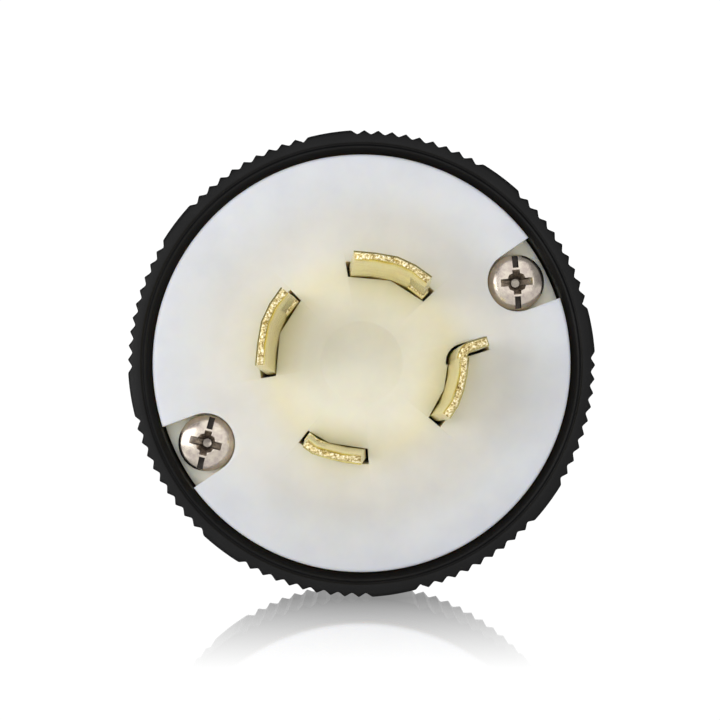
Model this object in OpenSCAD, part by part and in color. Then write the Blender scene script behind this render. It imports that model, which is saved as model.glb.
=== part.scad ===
// Locking plug, four blades (three lines and ground), 20 A: complete assembly.
// The plug's axis lies along Y. Blades point to -Y, the cord leaves to +Y, +Z is up.
// Origin: centre of the mating face. Every module is drawn along a local axis z,
// with z = 0 on the mating face and z growing towards the blade tips, and is
// then laid down by placed(). All lengths are millimetres, all angles degrees.

/* [Mating face] */
// Diameter of the white face
face_d = 51.8; // [51:0.1:52]
// Thickness of the face flange
flange_t = 6; // [5.5:0.1:6.5]
// Clock angle of the ground contact, seen from the front
contact_clock = -18; // [-45:1:0]
// Clock angle of the first assembly screw
screw_clock = 27.4; // [24:0.1:30]
// Distance of the assembly screws from the axis
screw_r = 21.8; // [21.6:0.1:22]
// Depth of the screw recesses
recess_depth = 3.2; // [2.8:0.1:3.6]

/* [Blades] */
// Height of the blades above the mating face
blade_h = 18.3; // [17:0.1:19]
// Thickness of the blades
blade_t = 1.1; // [1.1:0.05:1.3]
// Inner radius of the ring of blades
blade_r = 10.75; // [10.7:0.05:10.9]
// Clearance past each end of a blade in its slot
slot_end_gap = 0.3; // [0.3:0.1:0.8]

/* [Housing] */
// Diameter of the collar over its teeth
collar_d = 58; // [57:0.1:59]
// Length of the collar
collar_len = 15; // [13:0.5:16]
// Depth of the collar's teeth
tooth_depth = 0.55; // [0.3:0.05:0.6]
// Teeth between two plain lands of the collar
teeth_per_land = 9; // [9:1:9]
// Plain lands around the collar
lands = 8; // [8:1:8]
// How far the white face stands proud of the collar
face_proud = 0.25; // [0.1:0.05:0.5]
// Length of the housing behind the mating face
housing_len = 64; // [64:1:70]

/* [Cord clamp] */
// Radius of the largest cord the clamp takes
cord_r = 10.2; // [9.9:0.1:10.2]
// Travel of the clamp jaw from fully open
clamp_travel = 10; // [8:0.5:10]
// Distance of each clamp screw from the axis
clamp_screw_x = 14.7; // [14.5:0.1:14.9]

/* [Hidden] */
$fn = 96;
e = 0.01;                            // overrun of a cut past a face

// fits
run_gap = 0.05;                      // screw in its thread
hole_gap = 0.3;                      // screw in a plain hole
fit_gap = 0.3;                       // fixed part in its pocket
body_gap = 0.4;                      // front unit in the housing
touch_gap = 0.1;                     // flat faces of parts that move

// screws, all of one thread
thread_r = 1.75;
head_r = 3.5;
head_h = 2.1;

// front body and retainer, as depths behind the mating face
core_r = 22.3;
core_back = 12;
retainer_back = 34;
pilot_end = -3;                      // end of the retainer screw's hole
boss_r = 3.6;                        // screw bosses of the housing
boss_len = 16;
boss_floor = 2;                      // solid plastic under a boss's hole
boss_top = -6.3;                     // just below the ledge under the flange
insert_r = 2.6;
insert_len = 8;
assembly_screw_len = 13;
pocket_r = 3.75;                     // round part of a screw recess
pocket_flank = 7;                    // angle at which its sides open

// directions of the driver slots of the two assembly screws
slot_turns = [4, -14];

// blades: each a strip with one bend, angles from its own clock angle
slot_r_in = blade_r - 0.1;
slot_r_out = blade_r + 1.85;
line_span = [-26, -1.5, 25.5];
odd_span = [-18.5, -3.5, 20.5];
ground_span = [-20, 0, 18];
hook_bend = 2;                       // outer radius of the ground blade's bend
hook_dir = 17;                       // how far its arm leans from straight outwards
hook_len = 2;                        // straight part of the arm
hook_spare = 1.4;                    // room past the arm's end
hook_h = blade_h - 3.5;
hook_gap = 0.35;
notch_z = [3, 6.5];                  // locking notch, above the face
notch_w = 2.2;

// terminals: strap outside, pressure plate inside, screw pointing to the axis
base_z = -8.7;                       // top of the blade's base plate
strap_t = 1.3;
strap_r = 14.2;                      // inner face of the strap
strap_w = 8;
strap_back = 27;
term_z = -22;                        // the screw's place along the axis
plate_w = 7.4;
plate_h = 9;
plate_t = 1.6;
plate_open = 3.6;                    // wire space with the terminal open
term_screw_len = 9.4;
wire_r = 2.4;
wire_pos_r = 11.6;
wire_funnel = 1.2;                   // how much the mouth of a wire entry widens
port_r = 4;                          // driver's way to the terminal screw

// collar's knurl, counted in tooth pitches
land_phase = 8;                      // clock angle of the first land's middle
land_pitches = 4;                    // a land with the valley on each side
land_half = 1.55;                    // half of its flat top
tooth_flat = 0.12;                   // flat at a tooth's tip and foot

// housing shell
ring_bore_r = face_d / 2 + 0.3;
ring_bevel = 0.55;
root_r = collar_d / 2 - tooth_depth;
cavity_r = core_r + body_gap;
ledge_z = -flange_t - touch_gap;
body_r = 26;                         // just behind the collar
waist_r = 25;
waist_z = -36;
rear_corner = 7;
funnel_r = 16.5;                     // inside, where the rear wall begins
rear_wall_z = -44;
clamp_z = -48;
cord_hole_r = cord_r - 0.5;

// grip flutes around the shell
flutes = 24;
flute_r = 3;
flute_depth = 0.9;
flute_z = [-collar_len - 16, -collar_len - 3];

// cord clamp
ear_x = 19.3;
ear_top = 1;                         // top of the fixed saddle's ears
ear_bottom = -11.5;
ear_corner = 3;
saddle_r = 13.8;                     // round underside
jaw_gap = 0.3;                       // between jaw and ears, closed
jaw_t = 4.5;
jaw_corner = 1.5;
arch_r = 12.5;                       // top of the jaw
arch_y = 7.8;
jaw_z = [-housing_len + 0.5, clamp_z - 1.5];
jaw_bottom = ear_top + jaw_gap + clamp_travel;
jaw_tongue = cord_r + 0.1;
clamp_screw_z = (jaw_z[0] + jaw_z[1]) / 2;
clamp_screw_len = 19.4;
nut_w = 6.4;
nut_h = 2.7;
nut_top = ear_top - 1.6;
nut_gap = 0.1;

function polar(r, a) = [r * cos(a), r * sin(a)];

module placed() {
    rotate([90, 0, 0]) children();
}

module at_clock(a) {
    rotate([0, 0, a]) children();
}

// ---- outlines ----

// Collar: teeth with rounded valleys and a plain land at the end of each run.
module collar_outline() {
    sector = 360 / lands;
    tooth = sector / (teeth_per_land + land_pitches);
    tip_r = collar_d / 2;
    function valley(a) = [
        polar(root_r, a - tooth_flat * tooth),
        polar(root_r, a + tooth_flat * tooth)
    ];
    function tip(a) = [
        polar(tip_r, a - tooth_flat / 2 * tooth),
        polar(tip_r, a + tooth_flat / 2 * tooth)
    ];
    polygon([
        for (s = [0:lands - 1])
            let (start = land_phase + s * sector)
            let (foot = start + land_pitches / 2 * tooth)
            each concat(
                [for (k = [-1:1]) polar(tip_r, start + k * land_half * tooth)],
                [for (t = [0:teeth_per_land - 1])
                    each concat(valley(foot + t * tooth), tip(foot + (t + 0.5) * tooth))],
                valley(foot + teeth_per_land * tooth)
            )
    ]);
}

// Kinked strip of a blade.
module strip_outline(span) {
    polygon(concat(
        [for (a = span) polar(blade_r + blade_t, a)],
        [for (i = [2:-1:0]) polar(blade_r, span[i])]
    ));
}

// Slot of a blade: round outside, and kinked inside as the blade is.
module slot_outline(span) {
    extra = slot_end_gap / blade_r * 180 / PI;
    a0 = span[0] - extra;
    a1 = span[2] + extra;
    steps = 12;
    polygon(concat(
        [for (i = [0:steps]) polar(slot_r_out, a0 + (a1 - a0) * i / steps)],
        [for (a = [a1, span[1], a0]) polar(slot_r_in, a)]
    ));
}

// Arm of the ground contact, bent outwards; spare widens it, past lengthens it.
module hook_outline(spare = 0, past = 0) {
    steps = 8;
    centre = [blade_r + hook_bend, 0];
    run = polar(hook_len + past, hook_dir);
    angles = [for (i = [0:steps]) 180 - (90 - hook_dir) * i / steps];
    outer = [for (a = angles) centre + polar(hook_bend + spare, a)];
    inner = [for (a = angles) centre + polar(hook_bend - blade_t - spare, a)];
    rotate([0, 0, ground_span[2]])
        polygon(concat(
            outer,
            [outer[steps] + run, inner[steps] + run],
            [for (i = [steps:-1:0]) inner[i]]
        ));
}

// Screw recess: round at the screw, with flanks that open towards the rim.
module screw_pocket_outline() {
    steps = 24;
    round_part = 180 - 2 * pocket_flank;
    reach = face_d / 2 + 1 - screw_r;
    half = pocket_r / cos(pocket_flank) + reach * tan(pocket_flank);
    translate([screw_r, 0]) polygon(concat(
        [for (i = [0:steps]) polar(pocket_r, 90 + pocket_flank + round_part * i / steps)],
        [[reach, -half], [reach, half]]
    ));
}

module rounded_box_2d(w, h, r) {
    union() {
        square([w - 2 * r, h], center = true);
        square([w, h - 2 * r], center = true);
        for (x = [-1, 1])
            for (y = [-1, 1])
                translate([x * (w / 2 - r), y * (h / 2 - r)]) circle(r = r);
    }
}

// ---- screws: head top at z = 0, shank towards -z ----

module pan_head() {
    dome_w = 1.6;
    dome_h = 1.1;
    rotate_extrude() polygon(concat(
        [[0, -head_h], [head_r, -head_h], [head_r, -dome_h]],
        [for (t = [18:18:90]) [head_r - dome_w * (1 - cos(t)), dome_h * (sin(t) - 1)]],
        [[0, 0]]
    ));
}

// Slot along y and cross, for either driver.
module drive_recess() {
    slot = [0.8, 2 * head_r + 1, 1.1];
    cross = [0.9, 4.1, 1.6];
    translate([-slot.x / 2, -slot.y / 2, -slot.z]) cube([slot.x, slot.y, slot.z + 1]);
    for (a = [45, 135])
        rotate([0, 0, a])
            translate([-cross.x / 2, -cross.y / 2, -cross.z]) cube([cross.x, cross.y, cross.z + 1]);
}

module screw(len) {
    difference() {
        union() {
            pan_head();
            translate([0, 0, -head_h - len]) cylinder(r = thread_r, h = len + e);
        }
        drive_recess();
    }
}

// Screw of the terminal at a clock angle, its head on the outside of the strap.
module terminal_screw(a) {
    at_clock(a)
        translate([strap_r + strap_t + touch_gap + head_h, 0, term_z])
            rotate([0, 90, 0])
                screw(term_screw_len);
}

module pressure_plate(a) {
    at_clock(a)
        translate([strap_r - plate_open - plate_t / 2, 0, term_z])
            difference() {
                cube([plate_t, plate_w, plate_h], center = true);
                rotate([0, 90, 0]) cylinder(r = thread_r + run_gap, h = plate_t + 1, center = true);
            }
}

// ---- contacts ----

// Base plate and terminal strap, the same on all four contacts.
module contact_foot() {
    difference() {
        union() {
            translate([blade_r, -strap_w / 2, base_z - strap_t])
                cube([strap_r + strap_t - blade_r, strap_w, strap_t]);
            translate([strap_r, -strap_w / 2, -strap_back])
                cube([strap_t, strap_w, strap_back + base_z]);
        }
        translate([strap_r - 1, 0, term_z])
            rotate([0, 90, 0])
                cylinder(r = thread_r + hole_gap, h = strap_t + 2);
    }
}

module locking_notch(span) {
    rotate([0, 0, span[0]])
        translate([blade_r - 1, -1, notch_z[0]])
            cube([blade_t + 3, 1 + notch_w, notch_z[1] - notch_z[0]]);
}

module line_blade(a, span) {
    at_clock(a) {
        difference() {
            translate([0, 0, base_z - strap_t / 2])
                linear_extrude(blade_h - base_z + strap_t / 2)
                    strip_outline(span);
            locking_notch(span);
        }
        contact_foot();
    }
}

module line_blade_x() {
    placed() color("goldenrod") line_blade(contact_clock + 90, line_span);
}

module line_blade_y() {
    placed() color("goldenrod") line_blade(contact_clock + 180, line_span);
}

module line_blade_z() {
    placed() color("goldenrod") line_blade(contact_clock + 270, odd_span);
}

module ground_blade() {
    placed() color("darkkhaki") at_clock(contact_clock) {
        translate([0, 0, base_z - strap_t / 2])
            linear_extrude(blade_h - base_z + strap_t / 2)
                strip_outline(ground_span);
        translate([0, 0, base_z - strap_t / 2])
            linear_extrude(hook_h - base_z + strap_t / 2)
                hook_outline();
        contact_foot();
    }
}

// ---- front body: the white face with its core ----

// Slot through the face, and the pocket behind it for the blade's base plate.
module blade_passage(a, span) {
    pocket_depth = core_back + base_z;
    foot_l = strap_r + strap_t - slot_r_in;
    at_clock(a) {
        translate([0, 0, -core_back - 1])
            linear_extrude(core_back + 2) slot_outline(span);
        translate([slot_r_in - fit_gap, -strap_w / 2 - fit_gap, -core_back - 1])
            cube([foot_l + 2 * fit_gap, strap_w + 2 * fit_gap, pocket_depth + 1]);
    }
}

// Room for one of the housing's screw bosses, between two heights.
module boss_passage(z0, z1) {
    r = boss_r + body_gap;
    translate([screw_r, 0, z0]) cylinder(r = r, h = z1 - z0);
    translate([screw_r, -r, z0]) cube([r + 3, 2 * r, z1 - z0]);
}

module front_body() {
    placed() color("whitesmoke") difference() {
        union() {
            translate([0, 0, -flange_t]) cylinder(r = face_d / 2, h = flange_t, $fn = 180);
            translate([0, 0, -core_back]) cylinder(r = core_r, h = core_back - e);
        }
        blade_passage(contact_clock, ground_span);
        blade_passage(contact_clock + 90, line_span);
        blade_passage(contact_clock + 180, line_span);
        blade_passage(contact_clock + 270, odd_span);
        at_clock(contact_clock)
            translate([0, 0, -core_back - 1]) linear_extrude(core_back + 2)
                hook_outline(hook_gap, hook_spare);
        for (k = [0, 180]) at_clock(screw_clock + k) {
            translate([0, 0, -recess_depth]) linear_extrude(recess_depth + 1) screw_pocket_outline();
            translate([screw_r, 0, -flange_t - 1]) cylinder(r = thread_r + hole_gap, h = flange_t + 2);
            boss_passage(-core_back - 1, boss_top + body_gap);
        }
        translate([0, 0, -core_back - 1]) cylinder(r = thread_r + run_gap, h = core_back + 1 + pilot_end);
    }
}

// ---- contact retainer: holds the blades from behind, carries the terminals ----

// Everything that one terminal takes out of the retainer.
module terminal_chamber(a) {
    room = plate_open + plate_t + fit_gap;
    shank_end = strap_r + strap_t + touch_gap - term_screw_len;
    at_clock(a) {
        // slot for the strap
        translate([strap_r - fit_gap, -strap_w / 2 - fit_gap, -strap_back - fit_gap])
            cube([strap_t + 2 * fit_gap, strap_w + 2 * fit_gap, strap_back]);
        // chamber of the pressure plate
        translate([strap_r - room, -plate_w / 2 - body_gap, term_z - plate_h / 2 - body_gap])
            cube([room, plate_w + 2 * body_gap, plate_h + 2 * body_gap]);
        // way in for the driver, and room for the end of the screw
        translate([strap_r, 0, term_z])
            rotate([0, 90, 0]) cylinder(r = port_r, h = core_r - strap_r + 2);
        translate([shank_end - body_gap, 0, term_z])
            rotate([0, 90, 0]) cylinder(r = thread_r + body_gap, h = term_screw_len);
        // entry for the wire
        translate([wire_pos_r, 0, -retainer_back - 1])
            cylinder(r = wire_r, h = retainer_back + 1 + term_z);
        translate([wire_pos_r, 0, -retainer_back - e])
            cylinder(r1 = wire_r + wire_funnel, r2 = wire_r, h = wire_funnel);
    }
}

// A disc whose four ribs press the blades' base plates against the front body.
module contact_retainer() {
    rib_top = base_z - strap_t;
    rib_w = strap_w - 1;
    rib_l = strap_r - blade_r - 0.5;
    head_room = head_h + 2 * touch_gap;
    placed() color("dimgray") difference() {
        union() {
            translate([0, 0, -retainer_back]) cylinder(r = core_r, h = retainer_back - core_back);
            for (k = [0:3]) at_clock(contact_clock + 90 * k)
                translate([blade_r, -rib_w / 2, -core_back - 1])
                    cube([rib_l, rib_w, core_back + 1 + rib_top]);
        }
        for (k = [0:3]) terminal_chamber(contact_clock + 90 * k);
        for (k = [0, 180]) at_clock(screw_clock + k)
            boss_passage(-retainer_back - 1, 0);
        translate([0, 0, -retainer_back - 1]) cylinder(r = thread_r + hole_gap, h = retainer_back);
        translate([0, 0, -retainer_back - 1]) cylinder(r = head_r + hole_gap, h = head_room + 1);
    }
}

// Holds retainer and front body together, its head sunk flush at the back.
module retainer_screw() {
    placed() color("silver")
        translate([0, 0, -retainer_back + touch_gap])
            mirror([0, 0, 1])
                screw(retainer_back - head_h + pilot_end - 2 * touch_gap);
}

// ---- assembly screws, from the face into the housing ----

module assembly_screw(index) {
    a = screw_clock + 180 * index;
    at_clock(a)
        translate([screw_r, 0, head_h + touch_gap - recess_depth])
            rotate([0, 0, slot_turns[index] - a])
                screw(assembly_screw_len);
}

module assembly_screw_1() {
    placed() color("silver") assembly_screw(0);
}

module assembly_screw_2() {
    placed() color("silver") assembly_screw(1);
}

module screw_inserts() {
    placed() color("peru")
        for (k = [0, 180]) at_clock(screw_clock + k)
            translate([screw_r, 0, boss_top - insert_len])
                difference() {
                    cylinder(r = insert_r, h = insert_len);
                    translate([0, 0, -1]) cylinder(r = thread_r + run_gap, h = insert_len + 2);
                }
}

// ---- terminals ----

module terminal_screw_x() {
    placed() color("goldenrod") terminal_screw(contact_clock + 90);
}

module terminal_screw_y() {
    placed() color("goldenrod") terminal_screw(contact_clock + 180);
}

module terminal_screw_z() {
    placed() color("goldenrod") terminal_screw(contact_clock + 270);
}

module ground_screw() {
    placed() color("seagreen") terminal_screw(contact_clock);
}

module clamp_plate_x() {
    placed() color("goldenrod") pressure_plate(contact_clock + 90);
}

module clamp_plate_y() {
    placed() color("goldenrod") pressure_plate(contact_clock + 180);
}

module clamp_plate_z() {
    placed() color("goldenrod") pressure_plate(contact_clock + 270);
}

module clamp_plate_ground() {
    placed() color("goldenrod") pressure_plate(contact_clock);
}

// ---- housing ----

// Outside of the shell behind the collar, turned about the axis.
module shell_outline() {
    steps = 6;
    polygon(concat(
        [[0, 1 - collar_len], [body_r, 1 - collar_len], [body_r, -collar_len - 1], [waist_r, waist_z]],
        [for (i = [1:steps]) let (t = 90 * i / steps)
            [waist_r - rear_corner * (1 - cos(t)), waist_z + (clamp_z - waist_z) * sin(t)]],
        [[0, clamp_z]]
    ));
}

// Inside of the shell: bevelled ring bore, ledge, main cavity, funnel to the rear wall.
module cavity_outline() {
    bevel_r = ring_bore_r + ring_bevel;
    polygon([
        [0, 1], [bevel_r, 1], [bevel_r, -face_proud], [ring_bore_r, -face_proud - ring_bevel],
        [ring_bore_r, ledge_z], [cavity_r, ledge_z], [cavity_r, waist_z],
        [funnel_r, rear_wall_z], [0, rear_wall_z]
    ]);
}

// Fixed half of the cord clamp: a saddle with an ear on each side.
module saddle() {
    depth = housing_len + clamp_z + 1;
    translate([0, 0, -housing_len]) linear_extrude(depth) difference() {
        union() {
            translate([0, (ear_top + ear_bottom) / 2])
                rounded_box_2d(2 * ear_x, ear_top - ear_bottom, ear_corner);
            intersection() {
                circle(r = saddle_r);
                translate([-saddle_r, -saddle_r]) square([2 * saddle_r, saddle_r]);
            }
        }
        circle(r = cord_r);
        translate([-cord_r, 0]) square([2 * cord_r, ear_top + 1]);
    }
}

module grip_flutes() {
    for (i = [0:flutes - 1])
        at_clock((i + 0.5) * 360 / flutes)
            translate([body_r + flute_r - flute_depth, 0, flute_z[0]])
                cylinder(r = flute_r, h = flute_z[1] - flute_z[0]);
}

// Screw hole through an ear of the saddle, and the nut's pocket, open to the side.
module clamp_screw_hole(side) {
    ear_end = ear_x - clamp_screw_x;
    pocket = [nut_w + 2 * nut_gap + ear_end, nut_h + 2 * nut_gap, nut_w + 2 * nut_gap];
    translate([side * clamp_screw_x, ear_top + 1, clamp_screw_z])
        rotate([90, 0, 0]) cylinder(r = thread_r + hole_gap, h = saddle_r + ear_top + 2);
    translate([side * (clamp_screw_x + ear_end / 2), nut_top - nut_h / 2, clamp_screw_z])
        cube(pocket, center = true);
}

module housing() {
    placed() color([0.09, 0.09, 0.1]) difference() {
        union() {
            translate([0, 0, -collar_len])
                linear_extrude(collar_len - face_proud) collar_outline();
            difference() {
                rotate_extrude() shell_outline();
                grip_flutes();
            }
            saddle();
        }
        difference() {
            rotate_extrude() cavity_outline();
            for (k = [0, 180]) at_clock(screw_clock + k) {
                translate([screw_r, 0, boss_top - boss_len]) cylinder(r = boss_r, h = boss_len);
                translate([screw_r, -boss_r, boss_top - boss_len]) cube([6, 2 * boss_r, boss_len]);
            }
        }
        for (k = [0, 180]) at_clock(screw_clock + k) {
            translate([screw_r, 0, boss_top - insert_len]) cylinder(r = insert_r, h = insert_len + 1);
            translate([screw_r, 0, boss_top - boss_len + boss_floor])
                cylinder(r = thread_r + hole_gap, h = boss_len);
        }
        translate([0, 0, clamp_z - e]) cylinder(r = cord_hole_r, h = rear_wall_z - clamp_z + 1);
        for (side = [-1, 1]) clamp_screw_hole(side);
    }
}

// ---- cord clamp ----

module clamp_nuts() {
    placed() color("silver")
        for (side = [-1, 1])
            translate([side * clamp_screw_x, nut_top - nut_h / 2, clamp_screw_z])
                rotate([90, 0, 0])
                    difference() {
                        cube([nut_w, nut_w, nut_h], center = true);
                        cylinder(r = thread_r + run_gap, h = nut_h + 1, center = true);
                    }
}

// Section of the jaw: an ear on each side, an arched back, and a tongue that enters the saddle.
module jaw_outline() {
    tongue = [2 * (cord_r - jaw_gap), jaw_bottom + 2 - jaw_tongue];
    translate([0, jaw_bottom + jaw_t / 2]) rounded_box_2d(2 * ear_x, jaw_t, jaw_corner);
    intersection() {
        translate([0, arch_y]) circle(r = arch_r);
        translate([-arch_r, jaw_bottom + 1]) square([2 * arch_r, arch_r]);
    }
    translate([-tongue.x / 2, jaw_tongue]) square(tongue);
}

module clamp_jaw() {
    placed() color([0.09, 0.09, 0.1]) difference() {
        translate([0, 0, jaw_z[0]]) linear_extrude(jaw_z[1] - jaw_z[0]) jaw_outline();
        for (side = [-1, 1])
            translate([side * clamp_screw_x, jaw_bottom - 1, clamp_screw_z])
                rotate([-90, 0, 0]) cylinder(r = thread_r + hole_gap, h = jaw_t + 2);
    }
}

module clamp_screw(side) {
    translate([side * clamp_screw_x, jaw_bottom + jaw_t + touch_gap + head_h, clamp_screw_z])
        rotate([-90, 0, 0])
            screw(clamp_screw_len);
}

module clamp_screw_1() {
    placed() color("silver") clamp_screw(-1);
}

module clamp_screw_2() {
    placed() color("silver") clamp_screw(1);
}

housing();
screw_inserts();
clamp_nuts();
front_body();
contact_retainer();
retainer_screw();
line_blade_x();
line_blade_y();
line_blade_z();
ground_blade();
assembly_screw_1();
assembly_screw_2();
terminal_screw_x();
terminal_screw_y();
terminal_screw_z();
ground_screw();
clamp_plate_x();
clamp_plate_y();
clamp_plate_z();
clamp_plate_ground();
clamp_jaw();
clamp_screw_1();
clamp_screw_2();
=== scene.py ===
import math

import bmesh
import bpy
import numpy as np
from mathutils import Matrix, Vector


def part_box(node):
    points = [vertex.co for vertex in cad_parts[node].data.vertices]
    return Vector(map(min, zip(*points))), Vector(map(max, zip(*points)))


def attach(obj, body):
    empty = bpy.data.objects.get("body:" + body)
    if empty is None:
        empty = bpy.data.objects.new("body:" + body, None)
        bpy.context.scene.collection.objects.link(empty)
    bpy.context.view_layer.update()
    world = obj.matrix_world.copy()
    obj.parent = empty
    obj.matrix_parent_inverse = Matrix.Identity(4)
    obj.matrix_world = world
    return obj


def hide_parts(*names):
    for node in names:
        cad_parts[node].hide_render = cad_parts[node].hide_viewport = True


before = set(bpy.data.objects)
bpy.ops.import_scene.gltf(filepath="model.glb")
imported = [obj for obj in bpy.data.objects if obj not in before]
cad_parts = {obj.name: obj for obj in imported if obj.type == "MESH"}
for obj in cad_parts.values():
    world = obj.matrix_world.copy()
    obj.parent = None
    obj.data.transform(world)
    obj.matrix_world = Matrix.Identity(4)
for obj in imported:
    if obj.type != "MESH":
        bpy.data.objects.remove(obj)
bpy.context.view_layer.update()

# The plug lies along Y, its mating face at y = 0 with the blades towards -Y.
# Shapes are drawn in millimetres along a local axis z (x right, y up, z towards the
# blade tips, z = 0 on the mating face), as the CAD part is, and laid down at the end.
MM = 0.001
LAY_DOWN = Matrix.Rotation(math.radians(90), 4, "X") @ Matrix.Scale(MM, 4)
PITCH = 0.794                      # thread pitch of every screw


def local_box(node):
    """Lowest and highest corner of a CAD node, in the local millimetres."""
    low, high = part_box(node)
    return (np.array([low.x, low.z, -high.y]) / MM, np.array([high.x, high.z, -low.y]) / MM)


# driving sizes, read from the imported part
HOUSING_LOW, HOUSING_HIGH = local_box("housing")
FACE_LOW, FACE_HIGH = local_box("front_body")
BLADE_HIGH = local_box("line_blade_x")[1]
JAW_LOW, JAW_HIGH = local_box("clamp_jaw")
COLLAR_R = HOUSING_HIGH[0]
COLLAR_FRONT = HOUSING_HIGH[2]
HOUSING_BACK = HOUSING_LOW[2]
FACE_R = FACE_HIGH[0]
CORE_BACK = FACE_LOW[2]
BLADE_TIP = BLADE_HIGH[2]

# the part's other sizes, as in its source
CONTACT_CLOCK = -18
SCREW_CLOCK = 27.4
SCREW_R = 21.8
CORE_R = 22.3
FLANGE = 6
TOOTH = 0.55
LANDS = 8
PITCHES_PER_LAND = 13
LAND_PHASE = 8
COLLAR_BACK = -15
BODY_R = 26
WAIST_R = 25
WAIST_Z = -36
REAR_Z = -48
REAR_WALL_Z = -44
CAVITY_R = 22.7
CORD_R = 10.2
CORD_HOLE_R = 9.7
CLAMP_SCREW_X = 14.7
CLAMP_SCREW_Z = -56.5
SADDLE_BOTTOM = -13.8
EAR_X = 19.3
EAR_TOP = 1
EAR_BOTTOM = -11.5
HEAD_R = 3.5                       # screw heads
HEAD_H = 2.1
HEAD_GAP = 0.1                     # play below every head
SHANK_R = 1.75
HOLE_SPARE = 0.3                   # room round the threads
RECESS_DEPTH = 3.2
RETAINER_BACK = -34
TERMINAL_R = 15.6
TERMINAL_Z = -22
STRAP_IN, STRAP_OUT = 14.2, 15.5
STRAP_BACK = -27
STRAP_HALF = 4
BASE_TOP = -8.7
JAW_LIFT = 10                      # the jaw's way above the saddle
JAW_BOTTOM = EAR_TOP + 0.3 + JAW_LIFT
JAW_THICK = 4.5
JAW_EAR_TOP = JAW_BOTTOM + JAW_THICK
CLAMP_RIBS = (-60.5, -56.5, -52.5)


# ---------- mesh helpers ----------

def mesh_object(name, points, faces):
    mesh = bpy.data.meshes.new(name)
    mesh.from_pydata([tuple(map(float, p)) for p in points], [], faces)
    mesh.validate()
    mesh.update()
    obj = bpy.data.objects.new(name, mesh)
    bpy.context.scene.collection.objects.link(obj)
    return obj


def polar(radius, degrees):
    return (radius * math.cos(math.radians(degrees)), radius * math.sin(math.radians(degrees)))


def arc(cx, cy, radius, start, end, steps):
    """Points on an arc, ends included."""
    angles = np.radians(np.linspace(start, end, steps + 1))
    return [(cx + radius * math.cos(a), cy + radius * math.sin(a)) for a in angles]


def sleeve(name, rows, caps=(False, False), loop=False):
    """A mesh from rows of points, each row a closed ring; caps close the first and last ring."""
    count = len(rows[0])
    points = [p for row in rows for p in row]
    faces = []
    last = len(rows) if loop else len(rows) - 1
    for j in range(last):
        a, b = j * count, ((j + 1) % len(rows)) * count
        for i in range(count):
            k = (i + 1) % count
            faces.append((a + i, a + k, b + k, b + i))
    if caps[0]:
        faces.append(tuple(reversed(range(count))))
    if caps[1]:
        faces.append(tuple(range((len(rows) - 1) * count, len(rows) * count)))
    return mesh_object(name, points, faces)


def loft(name, levels):
    """A closed solid through outlines [(x, y)...] at rising heights z."""
    rows = [[(x, y, z) for x, y in outline] for outline, z in levels]
    return sleeve(name, rows, caps=(True, True))


def lathe(name, profile, steps=128, loop=False):
    """A solid of revolution about local z, from (radius, z) points; ends at radius 0 are capped."""
    rows = []
    for radius, z in profile:
        r = max(radius, 1e-4)
        angles = np.arange(steps) * 2 * math.pi / steps
        rows.append([(r * math.cos(a), r * math.sin(a), z) for a in angles])
    return sleeve(name, rows, caps=(not loop, not loop), loop=loop)


def settle(obj):
    """Applies the object's modifiers to its mesh."""
    graph = bpy.context.evaluated_depsgraph_get()
    mesh = bpy.data.meshes.new_from_object(obj.evaluated_get(graph))
    obj.modifiers.clear()
    obj.data = mesh
    return obj


def outward(obj):
    """Makes every face look outwards."""
    bm = bmesh.new()
    bm.from_mesh(obj.data)
    bmesh.ops.recalc_face_normals(bm, faces=bm.faces)
    bm.to_mesh(obj.data)
    bm.free()
    return obj


def combine(obj, others, operation):
    for other in others:
        outward(other)
        modifier = obj.modifiers.new("combine", "BOOLEAN")
        modifier.object = other
        modifier.operation = operation
        modifier.solver = "EXACT"
        settle(obj)
        bpy.data.objects.remove(other)
    return obj


def cut(obj, *cutters):
    return combine(outward(obj), cutters, "DIFFERENCE")


def soften(obj, width, segments=2, angle=32):
    """Rounds the sharp edges."""
    modifier = obj.modifiers.new("round", "BEVEL")
    modifier.width = width
    modifier.segments = segments
    modifier.limit_method = "ANGLE"
    modifier.angle_limit = math.radians(angle)
    modifier.miter_outer = "MITER_ARC"
    modifier.use_clamp_overlap = True
    return settle(obj)


def moved(obj, matrix):
    obj.data.transform(matrix)
    return obj


def turn(axis, degrees):
    return Matrix.Rotation(math.radians(degrees), 4, axis)


def clocked(obj, degrees):
    return moved(obj, turn("Z", degrees))


def join(name, parts):
    """One mesh from several separate closed shells."""
    points, faces = [], []
    for part in parts:
        base = len(points)
        points += [v.co.copy() for v in part.data.vertices]
        faces += [tuple(base + i for i in f.vertices) for f in part.data.polygons]
        bpy.data.objects.remove(part)
    return mesh_object(name, points, faces)


def finished(obj, body, slot, material, *nodes, sharp=35):
    """Lays a piece down in the row frame, gives it its body and finish, and hides the CAD nodes that it
    stands in for; slot is not used.
    """
    outward(obj)
    obj.data.transform(LAY_DOWN)
    obj.data.shade_smooth()
    obj.data.set_sharp_from_angle(angle=math.radians(sharp))
    obj.data.materials.clear()
    obj.data.materials.append(material)
    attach(obj, body)
    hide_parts(*nodes)
    return obj


def block(name, low, high):
    x0, y0, z0 = low
    x1, y1, z1 = high
    outline = [(x0, y0), (x1, y0), (x1, y1), (x0, y1)]
    return loft(name, [(outline, z0), (outline, z1)])


def rod(name, radius, z0, z1, steps=48):
    outline = arc(0, 0, radius, 0, 360 - 360 / steps, steps - 1)
    return loft(name, [(outline, z0), (outline, z1)])


# ---------- materials ----------

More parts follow.
